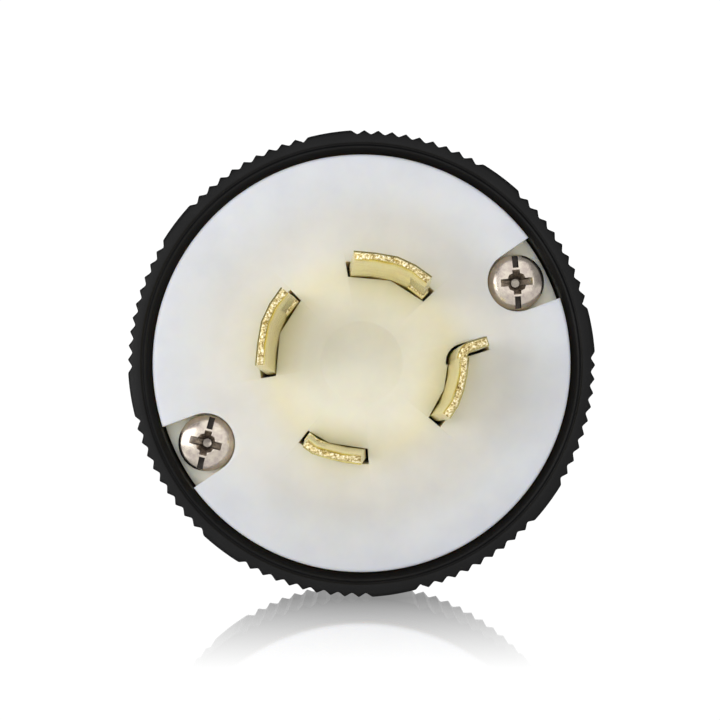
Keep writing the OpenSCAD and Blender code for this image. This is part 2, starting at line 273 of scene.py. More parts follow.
class Nodes:
    """Short names for the shader nodes that the materials use."""

    def __init__(self, name):
        self.material = bpy.data.materials.new(name)
        self.material.use_nodes = True
        self.tree = self.material.node_tree
        self.shader = self.tree.nodes["Principled BSDF"]
        coordinates = self.tree.nodes.new("ShaderNodeTexCoord")
        self.normal = coordinates.outputs["Normal"]
        scale = self.tree.nodes.new("ShaderNodeVectorMath")
        scale.operation = "SCALE"
        scale.inputs["Scale"].default_value = 1 / MM
        self.link(coordinates.outputs["Object"], scale.inputs[0])
        self.place = scale.outputs[0]          # millimetres in the row frame

    def link(self, output, socket):
        self.tree.links.new(output, socket)

    def set(self, **values):
        for key, value in values.items():
            self.shader.inputs[key.replace("_", " ")].default_value = value

    def noise(self, per_mm, detail=3, roughness=0.55, place=None):
        node = self.tree.nodes.new("ShaderNodeTexNoise")
        node.inputs["Scale"].default_value = per_mm
        node.inputs["Detail"].default_value = detail
        node.inputs["Roughness"].default_value = roughness
        self.link(place or self.place, node.inputs["Vector"])
        return node.outputs["Fac"]

    def stretched(self, x, y, z):
        node = self.tree.nodes.new("ShaderNodeVectorMath")
        node.operation = "MULTIPLY"
        node.inputs[1].default_value = (x, y, z)
        self.link(self.place, node.inputs[0])
        return node.outputs[0]

    def ramp(self, factor, *stops):
        node = self.tree.nodes.new("ShaderNodeValToRGB")
        elements = node.color_ramp.elements
        while len(elements) < len(stops):
            elements.new(0.5)
        for element, (position, colour) in zip(elements, stops):
            element.position = position
            if not isinstance(colour, (tuple, list)):
                colour = (colour,) * 3
            element.color = (*colour, 1)
        self.link(factor, node.inputs["Fac"])
        return node.outputs["Color"]

    def math(self, operation, a, b=None, clamp=False):
        node = self.tree.nodes.new("ShaderNodeMath")
        node.operation = operation
        node.use_clamp = clamp
        for socket, value in zip(node.inputs, (a, b)):
            if value is None:
                continue
            if isinstance(value, (int, float)):
                socket.default_value = value
            else:
                self.link(value, socket)
        return node.outputs[0]

    def mix(self, factor, a, b, blend="MIX"):
        node = self.tree.nodes.new("ShaderNodeMix")
        node.data_type = "RGBA"
        node.blend_type = blend
        for socket, value in ((node.inputs[0], factor), (node.inputs[6], a), (node.inputs[7], b)):
            if isinstance(value, (int, float)):
                socket.default_value = value
            elif isinstance(value, tuple):
                socket.default_value = (*value, 1)
            else:
                self.link(value, socket)
        return node.outputs[2]

    def axis(self, vector, name):
        node = self.tree.nodes.new("ShaderNodeSeparateXYZ")
        self.link(vector, node.inputs[0])
        return node.outputs[name]

    def radius(self):
        """Distance from the plug's axis, in millimetres."""
        flat = self.stretched(1, 0, 1)
        node = self.tree.nodes.new("ShaderNodeVectorMath")
        node.operation = "LENGTH"
        self.link(flat, node.inputs[0])
        return node.outputs["Value"]

    def painted_hollow_shade(self, reach_mm):
        """Painted shade: 1 deep in grooves and wells, 0 in the open, from ambient occlusion."""
        node = self.tree.nodes.new("ShaderNodeAmbientOcclusion")
        node.inputs["Distance"].default_value = reach_mm * MM
        node.only_local = True
        return self.ramp(node.outputs["AO"], (0.33, 1.0), (0.80, 0.0))

    def bump(self, height, strength, depth_mm, after=None):
        node = self.tree.nodes.new("ShaderNodeBump")
        node.inputs["Strength"].default_value = strength
        node.inputs["Distance"].default_value = depth_mm * MM
        self.link(height, node.inputs["Height"])
        if after is not None:
            self.link(after, node.inputs["Normal"])
        return node.outputs["Normal"]


def black_nylon():
    n = Nodes("black_nylon")
    grain = n.noise(9, detail=2)
    cloud = n.noise(0.25, detail=3)
    colour = n.ramp(cloud, (0.35, (0.0028, 0.0028, 0.0031)), (0.65, (0.0045, 0.0045, 0.0049)))
    n.link(colour, n.shader.inputs["Base Color"])
    n.link(n.ramp(grain, (0.3, 0.40), (0.7, 0.55)), n.shader.inputs["Roughness"])
    n.link(n.bump(grain, 0.4, 0.02), n.shader.inputs["Normal"])
    n.set(Specular_IOR_Level=0.2)
    return n.material


def white_nylon():
    n = Nodes("white_nylon")
    reach = n.math("DIVIDE", n.radius(), 26.0)
    # Colour by distance from the axis, in part painted light: the centre is painted lighter to make up for
    # the blades' shade, and a yellow band round the blades is painted as light thrown back by the brass.
    tone_and_painted_light = n.ramp(
        reach,
        (0.0, (0.88, 0.865, 0.78)),
        (0.28, (0.89, 0.865, 0.755)),
        (0.42, (0.86, 0.81, 0.62)),
        (0.55, (0.80, 0.775, 0.70)),
        (0.70, (0.735, 0.722, 0.685)),
        (0.84, (0.742, 0.752, 0.763)),
        (1.0, (0.725, 0.737, 0.78)),
    )
    # Painted light: from 0.4 mm to 2 mm behind the mating face, surfaces such as the recess floors and slot
    # walls are painted lighter and warmer.
    painted_recess_light = n.ramp(n.math("MULTIPLY", n.axis(n.place, "Y"), 0.25), (0.1, 0.0), (0.5, 1.0))
    tone_and_painted_light = n.mix(painted_recess_light, tone_and_painted_light, (0.97, 0.90, 0.73))
    cloud = n.ramp(n.noise(0.13, detail=4), (0.35, (0.93, 0.935, 0.95)), (0.6, (1.0, 1.0, 1.0)))
    n.link(n.mix(1.0, tone_and_painted_light, cloud, "MULTIPLY"), n.shader.inputs["Base Color"])
    grain = n.noise(3.2, detail=3)
    n.link(n.ramp(grain, (0.3, 0.34), (0.7, 0.46)), n.shader.inputs["Roughness"])
    n.link(n.bump(grain, 0.12, 0.01), n.shader.inputs["Normal"])
    n.set(Subsurface_Weight=0.7, Subsurface_Radius=(1.0, 0.78, 0.5), Subsurface_Scale=0.0025)
    return n.material


def grey_resin():
    n = Nodes("grey_resin")
    grain = n.noise(4, detail=3)
    colour = n.ramp(n.noise(0.4), (0.3, (0.055, 0.055, 0.058)), (0.7, (0.075, 0.075, 0.078)))
    n.link(colour, n.shader.inputs["Base Color"])
    n.link(n.ramp(grain, (0.3, 0.42), (0.7, 0.56)), n.shader.inputs["Roughness"])
    n.link(n.bump(grain, 0.2, 0.015), n.shader.inputs["Normal"])
    return n.material


def strip_brass(name, bright, dull):
    """Rolled brass strip: fine draw lines along the blade and rough sheared ends towards -Y, mottled dark
    brown to near white: partly the torn metal's own tone, partly painted glints and painted shade.
    """
    n = Nodes(name)
    lines = n.noise(1, detail=4, place=n.stretched(9, 0.5, 9))
    tarnish = n.noise(0.5, detail=4)
    flank = n.mix(n.ramp(tarnish, (0.40, 0.0), (0.66, 0.85)), bright, dull)
    shear = n.math("MULTIPLY", n.axis(n.normal, "Y"), -1.0)
    shear = n.ramp(shear, (0.55, 0.0), (0.85, 1.0))
    mottle = n.noise(3.6, detail=5, roughness=0.7)
    # Sheared ends: the near-white patches are painted glints and the dark brown ones painted shade, mixed
    # with the torn metal's own tone.
    sheared_tone_and_painted_glints = n.ramp(
        mottle,
        (0.38, (0.20, 0.13, 0.04)),
        (0.46, (0.48, 0.37, 0.15)),
        (0.54, (0.76, 0.65, 0.35)),
        (0.63, (0.97, 0.92, 0.76)),
    )
    n.link(n.mix(shear, flank, sheared_tone_and_painted_glints), n.shader.inputs["Base Color"])
    smooth = n.ramp(lines, (0.3, 0.12), (0.7, 0.26))
    rough = n.ramp(mottle, (0.3, 0.50), (0.7, 0.30))
    n.link(n.mix(shear, smooth, rough), n.shader.inputs["Roughness"])
    fine = n.bump(lines, 0.12, 0.01)
    height = n.mix(shear, (0.5, 0.5, 0.5), mottle)
    dents = n.bump(n.noise(0.7, detail=1), 0.35, 0.2, fine)
    n.link(n.bump(height, 0.45, 0.09, dents), n.shader.inputs["Normal"])
    n.set(Metallic=1.0)
    return n.material


def plated(name, bright, dull, rough=(0.22, 0.36)):
    """Plated or turned metal with faint clouding and fine scratches, painted darker in grooves and wells as
    shade.
    """
    n = Nodes(name)
    cloud = n.noise(0.9, detail=4)
    scratch = n.noise(1, detail=3, place=n.stretched(14, 14, 2))
    colour = n.ramp(cloud, (0.38, dull), (0.62, bright))
    # Painted shade: the colour goes nearly black in grooves, wells and slots.
    n.link(n.mix(n.painted_hollow_shade(1.5), colour, tuple(0.06 * c for c in dull)), n.shader.inputs["Base Color"])
    n.link(n.ramp(scratch, (0.3, rough[0]), (0.7, rough[1])), n.shader.inputs["Roughness"])
    n.link(n.bump(scratch, 0.15, 0.01), n.shader.inputs["Normal"])
    n.set(Metallic=1.0)
    return n.material


# ---------- housing ----------

def tooth_height(u):
    """Height of the collar's knurl, 0 to 1, at u pitches from the centre of a land."""
    u = (u + 2) % PITCHES_PER_LAND - 2
    top, foot = 1.55, 2.0
    if u < foot:
        t = min(1.0, (foot - abs(u)) / (foot - top))
    else:
        t = 1 - 2 * abs(u % 1 - 0.5)
    valley, tip = 0.16, 0.05
    t = (math.hypot(t, valley) - valley) / (math.hypot(1, valley) - valley)
    return min(1.0, max(0.0, 1 + tip - math.hypot(1 - t, tip)))


def collar_radii(steps):
    """Outer radius of the collar at each step of angle. Every other land falls off a little."""
    sector = 360 / LANDS
    radii = []
    for i in range(steps):
        turn = (360 * i / steps - LAND_PHASE) / sector
        u = (turn % 1) * PITCHES_PER_LAND
        if u > PITCHES_PER_LAND - 2:
            u -= PITCHES_PER_LAND
        land = round(turn) % LANDS
        slant = 0.12 * (u / 3.1 + 0.5) if abs(u) < 2 and land % 2 == 0 else 0
        radii.append(COLLAR_R - TOOTH * (1 - tooth_height(u)) - slant)
    return np.array(radii)


def flute_depth(steps, z):
    """Depth of the grip flutes behind the collar, at each step of angle."""
    count, radius, depth, start, end, run_out = 24, 3.0, 0.9, -17.6, -31.0, 1.5
    inside = min(start - z, z - end)
    if inside <= 0:
        return np.zeros(steps)
    fade = min(1.0, inside / run_out)
    fade = math.sqrt(1 - (1 - fade) ** 2)
    along = (z - COLLAR_BACK) / (WAIST_Z - COLLAR_BACK)
    here = (depth - along * (BODY_R - WAIST_R)) * fade
    turn = (np.arange(steps) / steps * count) % 1 - 0.5
    off = turn * 2 * math.pi * BODY_R / count
    blend = here - off ** 2 / (2 * radius)
    return np.maximum(blend, 0)


def shell_rows(steps):
    """Rings of the housing's shell, from the ledge inside round the front edge to the rear."""
    angle = np.arange(steps) * 2 * math.pi / steps
    cos, sin = np.cos(angle), np.sin(angle)
    rows = []

    def ring(radius, z):
        radius = np.broadcast_to(radius, steps)
        height = np.broadcast_to(z, steps)
        rows.append(np.stack([radius * cos, radius * sin, height], axis=1))

    front = COLLAR_FRONT
    mouth = ((26.2, 5.85), (26.2, 3.0), (26.2, 0.78), (26.24, 0.68))
    lip = ((26.58, 0.30), (26.66, 0.17), (26.78, 0.06), (26.92, 0.02), (27.04, 0.09))
    groove = ((27.12, 0.20), (27.2, 0.235), (27.3, 0.20), (27.38, 0.10), (27.5, 0.06))
    ledge = ((28.0, 0.09), (28.25, 0.11))
    for radius, drop in mouth + lip + groove + ledge:
        ring(radius, front - drop)
    outer = collar_radii(steps)
    start_r, start_drop = 28.3, 0.12
    depth = 0.12 + 0.45 * (outer - (COLLAR_R - TOOTH))
    for t in np.radians([12, 28, 45, 62, 78, 90]):
        ring(start_r + (outer - start_r) * math.sin(t), front - start_drop - depth * (1 - math.cos(t)))
    ring(outer, -2.5)
    ring(outer, -6.0)
    ring(outer, -10.5)
    back_depth = 0.25 + 0.5 * (outer - (COLLAR_R - TOOTH))
    for t in np.radians([90, 60, 30, 0]):
        ring(28.0 + (outer - 28.0) * math.sin(t), COLLAR_BACK + back_depth * math.sin(t))
    ring(26.9, COLLAR_BACK)
    ring(26.35, COLLAR_BACK - 0.02)
    ring(26.08, COLLAR_BACK - 0.14)
    ring(25.98, COLLAR_BACK - 0.45)
    heights = [-16.2, -17.0, -17.7, -17.9, -18.2, -18.7, -19.4] + list(np.linspace(-20.4, -28.6, 9))
    heights += [-29.4, -30.0, -30.4, -30.7, -30.9, -31.2, -32.2, -34]
    for z in heights:
        along = (z - COLLAR_BACK) / (WAIST_Z - COLLAR_BACK)
        ring(BODY_R - along * (BODY_R - WAIST_R) - flute_depth(steps, z) - 0.01, z)
    corner = 7
    for t in np.radians(np.linspace(0, 88, 12)):
        ring(WAIST_R - corner + corner * math.cos(t), WAIST_Z + (REAR_Z - WAIST_Z) * math.sin(t))
    rear = ((17.6, REAR_Z), (14.0, REAR_Z))
    hole = ((CORD_HOLE_R + 0.5, REAR_Z), (CORD_HOLE_R + 0.12, REAR_Z + 0.12),
            (CORD_HOLE_R, REAR_Z + 0.5), (CORD_HOLE_R, REAR_WALL_Z - 0.4), (CORD_HOLE_R + 0.4, REAR_WALL_Z))
    cavity = ((16.5, REAR_WALL_Z), (CAVITY_R, WAIST_Z), (CAVITY_R, -20), (CAVITY_R, -6.1))
    for radius, z in rear + hole + cavity:
        ring(radius, z)
    return rows


def saddle_outline(trough):
    """Section of the clamp's fixed half; trough is the radius of its cord groove."""
    r = 3.0
    out = [(-trough, EAR_TOP), (-trough, 0)]
    out += arc(0, 0, trough, 180, 360, 24)[1:]
    out += [(trough, EAR_TOP)]
    out += arc(EAR_X - r, EAR_TOP - r, r, 90, 0, 6)
    out += arc(EAR_X - r, EAR_BOTTOM + r, r, 0, -90, 6)
    belly = -SADDLE_BOTTOM
    touch = math.degrees(math.acos(min(1, -EAR_BOTTOM / belly)))
    out += arc(0, 0, belly, -90 + touch, -90 - touch, 12)
    out += arc(-EAR_X + r, EAR_BOTTOM + r, r, -90, -180, 6)
    out += arc(-EAR_X + r, EAR_TOP - r, r, 180, 90, 6)
    return out


def saddle():
    plain, rib = saddle_outline(CORD_R), saddle_outline(CORD_R - 0.8)
    levels = [(plain, HOUSING_BACK)]
    for centre in CLAMP_RIBS:
        levels += [(plain, centre - 0.9), (rib, centre - 0.15)]
        levels += [(rib, centre + 0.15), (plain, centre + 0.9)]
    levels.append((plain, REAR_Z + 0.8))
    part = loft("saddle", levels)
    cutters = []
    for side in (-1, 1):
        hole = moved(rod("hole", SHANK_R + HOLE_SPARE, -20, 20), turn("X", 90))
        cutters.append(moved(hole, Matrix.Translation((side * CLAMP_SCREW_X, 0, CLAMP_SCREW_Z))))
        inner, outer_x = side * (CLAMP_SCREW_X - 3.3), side * (CLAMP_SCREW_X + 9)
        cutters.append(block("pocket", (min(inner, outer_x), -3.4, CLAMP_SCREW_Z - 3.3),
                             (max(inner, outer_x), -0.5, CLAMP_SCREW_Z + 3.3)))
    return soften(cut(part, *cutters), 0.35, 3)


def boss(degrees):
    outline = [(25.4, 3.6)] + arc(SCREW_R, 0, 3.6, 90, 270, 20) + [(25.4, -3.6)]
    part = loft("boss", [(outline, -22.3), (outline, -6.3)])
    well = moved(rod("well", SHANK_R + HOLE_SPARE, -20.3, -5), Matrix.Translation((SCREW_R, 0, 0)))
    seat = moved(rod("seat", 2.6, -14.3, -5), Matrix.Translation((SCREW_R, 0, 0)))
    return clocked(soften(cut(part, well, seat), 0.2, 2), degrees)


def housing(material):
    steps = LANDS * PITCHES_PER_LAND * 10
    shell = sleeve("shell", shell_rows(steps), loop=True)
    parts = [shell, saddle()] + [boss(SCREW_CLOCK + half_turn) for half_turn in (0, 180)]
    finished(join("housing_shell", parts), "housing", "black_nylon", material, "housing", sharp=38)


# ---------- front body ----------

LINE_SPAN = (-26, -1.5, 25.5)        # degrees: one end, bend, other end
ODD_SPAN = (-18.5, -3.5, 20.5)
GROUND_SPAN = (-20, 0, 18)
BLADE_R = 10.75
BLADE_T = 1.1
HOOK_BEND = 2.0                      # outer radius of the bend
HOOK_DIR = 17                        # how far the arm leans from straight outwards
HOOK_LEN = 2.0                       # straight part of the arm
HOOK_DROP = 3.5                      # how much lower the ground blade's hook is
CONTACTS = (
    ("line_blade_x", 90, LINE_SPAN),
    ("line_blade_y", 180, LINE_SPAN),
    ("line_blade_z", 270, ODD_SPAN),
    ("ground_blade", 0, GROUND_SPAN),
)


def slot_outline(span):
    """A blade's slot: round outside, bent like the blade inside."""
    grow = math.degrees(0.3 / BLADE_R)
    a, b = span[0] - grow, span[2] + grow
    inner = BLADE_R - 0.03
    outer = arc(0, 0, BLADE_R + 1.85, a, b, 14)
    return outer + [polar(inner, b), polar(inner, span[1]), polar(inner, a)]


def pocket_outline():
    flank, radius = 7, 3.75
    reach = FACE_R + 1 - SCREW_R
    half = radius / math.cos(math.radians(flank)) + reach * math.tan(math.radians(flank))
    outline = [(x + SCREW_R, y) for x, y in arc(0, 0, radius, 90 + flank, 270 - flank, 28)]
    return outline + [(SCREW_R + reach, -half), (SCREW_R + reach, half)]


def prism(name, outline, z0, z1, degrees=0):
    return clocked(loft(name, [(outline, z0), (outline, z1)]), degrees)


def hook_outline(spare=0.0, past=0.0, steps=16):
    """Section of the ground blade's arm, bent outwards; spare widens it, past lengthens it."""
    centre = BLADE_R + HOOK_BEND
    run = polar(HOOK_LEN + past, HOOK_DIR)
    outer = arc(centre, 0, HOOK_BEND + spare, 180, 90 + HOOK_DIR, steps)
    inner = arc(centre, 0, HOOK_BEND - BLADE_T - spare, 90 + HOOK_DIR, 180, steps)
    tips = [(x + run[0], y + run[1]) for x, y in (outer[-1], inner[0])]
    return [(outer[0][0], -0.3)] + outer + tips + inner + [(inner[-1][0], -0.3)]


def front_body(material):
    edge = 0.5
    rim = FACE_R - 0.01
    profile = [(0, CORE_BACK), (CORE_R - 0.3, CORE_BACK), (CORE_R, CORE_BACK + 0.3), (CORE_R, -FLANGE)]
    profile += [(FACE_R - 0.3, -FLANGE), (rim, -FLANGE + 0.3)]
    profile += arc(rim - edge, -edge, edge, 0, 90, 6)
    profile += [(22.6, 0.0), (22.45, -0.03), (17.4, -0.03), (17.25, 0.0)]     # shallow outer band
    profile += [(5.35, 0.0), (5.2, -0.05), (4.9, -0.05), (4.75, 0.0), (0, 0)]  # ring at the centre
    part = lathe("front", profile, 256)
    cutters = []
    for name, around, span in CONTACTS:
        clock = CONTACT_CLOCK + around
        cutters.append(prism("slot", slot_outline(span), CORE_BACK - 1, 1, clock))
        half = STRAP_HALF + 0.3
        corner = (STRAP_OUT + 0.3, half, BASE_TOP)
        pocket = block("base_pocket", (BLADE_R - 0.4, -half, CORE_BACK - 1), corner)
        cutters.append(clocked(pocket, clock))
    hook = hook_outline(0.34, 1.38)
    cutters.append(prism("hook_slot", hook, CORE_BACK - 2, 2, CONTACT_CLOCK + GROUND_SPAN[2]))
    for half_turn in (0, 180):
        clock = SCREW_CLOCK + half_turn
        relief = [(27, 4.0)] + arc(SCREW_R, 0, 4.0, 90, 270, 20) + [(27, -4.0)]
        cutters.append(prism("recess", pocket_outline(), -RECESS_DEPTH, 1, clock))
        cutters.append(prism("screw_hole", arc(SCREW_R, 0, 2.05, 0, 350, 35), -7, 0, clock))
        cutters.append(prism("relief", relief, CORE_BACK - 1, -5.9, clock))
    cutters.append(rod("pilot", SHANK_R, CORE_BACK - 1, -3))          # for the retainer screw
    soften(cut(part, *cutters), 0.14, 2, angle=40)
    finished(part, "front_unit", "white_nylon", material, "front_body", sharp=25)


# ---------- blades ----------

def strip_outline(span, ends=(0, 0), outside=0, inside=0):
    """Section of a bent strip. ends shorten it, outside and inside chamfer its two faces."""
    a = span[0] + math.degrees(ends[0] / BLADE_R)
    b = span[2] - math.degrees(ends[1] / BLADE_R)
    k = span[1]
    m, n = (a + k) / 2, (k + b) / 2
    sag_m = math.cos(math.radians(k - a) / 2)
    sag_n = math.cos(math.radians(b - k) / 2)
    r0, r1 = BLADE_R, BLADE_R + BLADE_T - outside
    bow = 0.2
    outer = [polar(r1, a), polar(r1 * sag_m + bow, m), polar(r1, k)]
    outer += [polar(r1 * sag_n + bow / 2, n), polar(r1, b)]
    inner = [polar(r0 + inside * 0.25, b), polar(r0 * sag_n + bow / 2 + inside * 0.8, n)]
    inner += [polar(r0 + inside, k), polar(r0 * sag_m + bow + inside * 0.8, m)]
    inner += [polar(r0 + inside * 0.25, a)]
    return outer + inner


def blade(name, around, span, material):
    clock = CONTACT_CLOCK + around
    top = BLADE_TIP
    ground = span == GROUND_SPAN
    inset = (0.58, 0.0 if ground else 0.58)

    def level(z, outside=0.0, inside=0.0):
        share = max(0.0, z) / top
        return strip_outline(span, [e * share for e in inset], outside, inside), z

    foot_z = BASE_TOP - 0.6
    levels = [level(foot_z), level(0.0), level(top - 1.3)]
    levels += [level(top - 0.55, 0, 0.06), level(top - 0.3, 0, 0.16), level(top, 0.22, 0.34)]
    part = loft(name, levels)
    pit = block("bend_pit", (BLADE_R + 0.22, -0.24, top - 0.9), (BLADE_R + 0.62, 0.24, top + 1))
    cutters = [clocked(pit, span[1])]
    if not ground:
        notch = block("locking_notch", (BLADE_R - 1, -1, 3), (BLADE_R + 3, 2.2, 6.5))
        cutters.append(clocked(notch, span[0]))
    parts = [soften(cut(part, *cutters), 0.07, 2, angle=30)]
    if ground:
        high = top - HOOK_DROP
        arm, rim = hook_outline(), hook_outline(-0.12, -0.1)
        hook = loft("hook", [(arm, foot_z), (arm, high - 0.25), (rim, high)])
        parts.append(soften(clocked(hook, span[2]), 0.06, 2, angle=30))
    foot = block("foot", (BLADE_R, -STRAP_HALF, BASE_TOP - 1.3), (STRAP_OUT, STRAP_HALF, BASE_TOP))
    strap = block("strap", (STRAP_IN, -STRAP_HALF, STRAP_BACK), (STRAP_OUT, STRAP_HALF, BASE_TOP - 0.3))
    hole = moved(rod("hole", SHANK_R + HOLE_SPARE, 12, 18), turn("Y", 90))
    cut(strap, moved(hole, Matrix.Translation((0, 0, TERMINAL_Z))))
    parts += [soften(foot, 0.15, 2), soften(strap, 0.15, 2)]
    metal = clocked(join(name + "_metal", parts), clock)
    finished(metal, "front_unit", "blade_brass", material, name, sharp=24)


# ---------- screws ----------

def screw_head():
    """Pan head whose full slot lies on one arm of its cross recess; its top is at z = 0."""
    profile = [(0, -HEAD_H), (HEAD_R - 0.15, -HEAD_H), (HEAD_R, -HEAD_H + 0.15), (HEAD_R, -0.85)]
    profile += [(HEAD_R - 2.6 * (1 - math.cos(t)), -0.85 + 0.8 * math.sin(t))
                for t in np.radians(range(10, 91, 10))]
    profile += [(0.9, -0.03), (0, 0)]
    head = lathe("head", profile, 96)
    cutters = []
    for low, high in ((1.8, 3.3), (-3.3, -1.8)):
        cutters.append(block("slot", (-0.37, low, -1.3), (0.37, high, 1)))
    for angle, half in ((0, 2.35), (90, 1.78)):
        levels = [([(-x, -y), (x, -y), (x, y), (-x, y)], z)
                  for x, y, z in ((0.5, 0.3, -1.85), (half, 0.5, 0.3))]
        cutters.append(clocked(loft("wing", levels), angle))
    well = [(arc(0, 0, r, 0, 315, 7), z) for r, z in ((0.55, -1.9), (0.95, -1.3), (1.4, 0.3))]
    cutters.append(loft("well", well))
    return soften(cut(head, *cutters), 0.06, 2, angle=35)


def threaded_shank(length):
    """Shank below the head with a real helical thread and a tapered end."""
    steps, per_pitch, depth = 28, 8, 0.32
    rows = []
    count = int(length / PITCH * per_pitch)
    for j in range(count + 1):
        z = -HEAD_H + 0.05 - (length + 0.05) * j / count
        left = (length + HEAD_H + z)
        row = []
        for i in range(steps):
            t = 2 * math.pi * i / steps
            wave = (z / PITCH - i / steps) % 1
            ridge = 1 - 2 * abs(wave - 0.5)
            radius = SHANK_R - 0.01 - depth * (1 - min(1, ridge * 1.25))
            radius = min(radius, SHANK_R - 0.65 + 0.65 * min(1, left / 0.8))
            row.append((radius * math.cos(t), radius * math.sin(t), z))
        rows.append(row)
    return sleeve("shank", rows, caps=(True, True))


def screw(name, length, matrix, body, slot, material):
    part = join(name + "_metal", [screw_head(), threaded_shank(length)])
    finished(moved(part, matrix), body, slot, material, name, sharp=26)


def assembly_screw(index, clock, slot_clock, material):
    name = f"assembly_screw_{index}"
    seat = Matrix.Translation((SCREW_R, 0, HEAD_H + HEAD_GAP - RECESS_DEPTH))
    place = turn("Z", clock) @ seat @ turn("Z", slot_clock - clock)
    screw(name, 13, place, name, "nickel_screw", material)


def clamp_screw(index, side, slot_clock, material):
    name = f"clamp_screw_{index}"
    seat = Matrix.Translation((side * CLAMP_SCREW_X, JAW_EAR_TOP + HEAD_GAP + HEAD_H, CLAMP_SCREW_Z))
    place = seat @ turn("X", -90) @ turn("Z", slot_clock)
    screw(name, 19.4, place, name, "zinc_screw", material)


def terminal_screw(name, clock, slot_clock, slot, material):
    seat = Matrix.Translation((TERMINAL_R + HEAD_H, 0, TERMINAL_Z))
    place = turn("Z", clock) @ seat @ turn("Y", 90) @ turn("Z", slot_clock)
    screw(name, 9.4, place, name, slot, material)


# ---------- cord clamp ----------

def jaw_outline(tongue):
    """Section of the moving jaw: an ear each side, an arch over the cord, a ribbed tongue below."""
    r, arch_r, arch_y = 1.5, 12.5, JAW_BOTTOM - 3.5
    rise = math.degrees(math.asin((JAW_EAR_TOP - arch_y) / arch_r))
    half = CORD_R - 1.1
    out = arc(EAR_X - r, JAW_BOTTOM + r, r, -90, 0, 5)
    out += arc(EAR_X - r, JAW_EAR_TOP - r, r, 0, 90, 5)
    out += arc(0, arch_y, arch_r, rise, 180 - rise, 24)
    out += arc(-EAR_X + r, JAW_EAR_TOP - r, r, 90, 180, 5)
    out += arc(-EAR_X + r, JAW_BOTTOM + r, r, 180, 270, 5)
    out += [(-half, JAW_BOTTOM), (-half, tongue), (half, tongue), (half, JAW_BOTTOM)]
    return out


def clamp_jaw(material):
    rib = jaw_outline(CORD_R + 0.1)
    plain = jaw_outline(CORD_R + 0.75)
    z0, z1 = JAW_LOW[2], JAW_HIGH[2]
    levels = [(plain, z0)]
    for centre in CLAMP_RIBS:
        levels += [(plain, centre - 0.9), (rib, centre - 0.2)]
        levels += [(rib, centre + 0.2), (plain, centre + 0.9)]
    levels.append((plain, z1))
    part = loft("jaw", levels)
    cutters = []
    for side in (-1, 1):
        hole = moved(rod("hole", SHANK_R + HOLE_SPARE, -30, 0), turn("X", 90))
        cutters.append(moved(hole, Matrix.Translation((side * CLAMP_SCREW_X, 0, CLAMP_SCREW_Z))))
    soften(cut(part, *cutters), 0.35, 3)
    part.name = "clamp_jaw_moulding"
    finished(part, "clamp_jaw", "black_nylon", material, "clamp_jaw", sharp=38)


# ---------- parts kept from CAD ----------

def rounded_copy(node, body, slot, material, width):
    """A copy of a CAD part whose shape is right, with its edges rounded."""
    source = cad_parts[node]
    obj = bpy.data.objects.new(node + "_piece", source.data.copy())
    bpy.context.scene.collection.objects.link(obj)
    weld = obj.modifiers.new("weld", "WELD")
    weld.merge_threshold = 1e-6
    settle(obj)
    flat = obj.modifiers.new("flat", "DECIMATE")
    flat.decimate_type = "DISSOLVE"
    flat.angle_limit = math.radians(1)
    settle(obj)
    obj.data.transform(LAY_DOWN.inverted())
    soften(obj, width, 2)
    finished(obj, body, slot, material, node)


# ---------- studio ----------

FACE_DISTANCE = 0.166
SCALE_AT_FACE = 8.095              # picture units per millimetre on the mating face
EYE = (-0.45, -4.93)               # the camera's place across the axis, mm right and up
PICTURE = 720


def camera():
    data = bpy.data.cameras.new("camera")
    data.sensor_width = 36
    focal = SCALE_AT_FACE * FACE_DISTANCE / MM
    data.lens = focal / PICTURE * data.sensor_width
    data.clip_start = 0.01
    data.clip_end = 20
    obj = bpy.data.objects.new("camera", data)
    bpy.context.scene.collection.objects.link(obj)
    bpy.context.scene.camera = obj
    obj.location = (EYE[0] * MM, -FACE_DISTANCE, EYE[1] * MM)
    centre = Vector((-0.0002, 0, 0.00027))
    obj.rotation_mode = "QUATERNION"
    obj.rotation_quaternion = (centre - obj.location).to_track_quat("-Z", "Y")


def area_light(name, place, target, size, power, colour=(1, 1, 1)):
    data = bpy.data.lights.new(name, "AREA")
    data.shape = "RECTANGLE"
    data.size, data.size_y = size
    data.energy = power
    data.color = colour
    obj = bpy.data.objects.new(name, data)
    bpy.context.scene.collection.objects.link(obj)
    obj.location = place
    obj.rotation_mode = "QUATERNION"
    obj.rotation_quaternion = (Vector(target) - Vector(place)).to_track_quat("-Z", "Y")


def studio_world():
    """A white sweep behind the plug, darker on the side that the plug looks at."""
    world = bpy.data.worlds.new("studio")
    bpy.context.scene.world = world
    world.use_nodes = True
    tree = world.node_tree
    tree.nodes.clear()
    coordinates = tree.nodes.new("ShaderNodeTexCoord")
    split = tree.nodes.new("ShaderNodeSeparateXYZ")
    ramp = tree.nodes.new("ShaderNodeValToRGB")
    remap = tree.nodes.new("ShaderNodeMapRange")
    remap.inputs["From Min"].default_value = -1
    remap.inputs["From Max"].default_value = 1
    tree.links.new(coordinates.outputs["Generated"], split.inputs[0])
    tree.links.new(split.outputs["Y"], remap.inputs["Value"])
    tree.links.new(remap.outputs[0], ramp.inputs["Fac"])
    stops = ((0.0, 0.40), (0.25, 0.35), (0.5, 0.12), (0.85, 0.35), (0.92, 1.0))
    elements = ramp.color_ramp.elements
    while len(elements) < len(stops):
        elements.new(0.5)
    for element, (position, level) in zip(elements, stops):
        element.position = position
        element.color = (level, level, level, 1)
    light = tree.nodes.new("ShaderNodeBackground")
    light.inputs["Strength"].default_value = 1.05
    out = tree.nodes.new("ShaderNodeOutputWorld")
    tree.links.new(ramp.outputs[0], light.inputs["Color"])
    tree.links.new(light.outputs[0], out.inputs[0])


